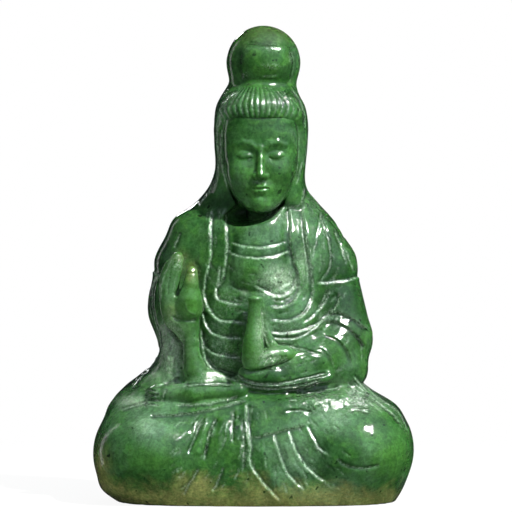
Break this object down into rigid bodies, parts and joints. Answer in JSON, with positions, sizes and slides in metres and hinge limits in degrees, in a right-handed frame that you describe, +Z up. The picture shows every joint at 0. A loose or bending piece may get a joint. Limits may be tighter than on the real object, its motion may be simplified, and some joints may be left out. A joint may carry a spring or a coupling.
{
  "type": "seated figurine",
  "caption": "Seated robed and hooded figurine carved in green jade, one hand raised and a small bottle in the other, on a flat base; a free-standing ornament.",
  "frame": {"origin": "middle of the flat underside that the figure stands on", "axes": "+Z up the figure, -Y the way the figure faces, +X towards the figure's left hand, which is the viewer's right"},
  "size_m": [0.0502, 0.0272, 0.0757],
  "materials": {
    "jade_body": "polished green nephrite jade, slightly translucent",
    "jade_dark": "polished dark green nephrite jade",
    "jade_pale": "polished pale green nephrite jade, thin and translucent"
  },
  "bodies": {
    "root": {"crossed_legs": "jade_body", "left_foot": "jade_body", "right_foot": "jade_body", "torso": "jade_body", "under_robe": "jade_body", "left_sleeve": "jade_body", "right_sleeve": "jade_body", "head": "jade_body", "topknot": "jade_dark", "front_hair": "jade_dark", "veil": "jade_dark", "left_hand": "jade_pale", "right_hand": "jade_pale", "right_forearm": "jade_pale", "vase": "jade_pale"}
  },
  "joints": []
}
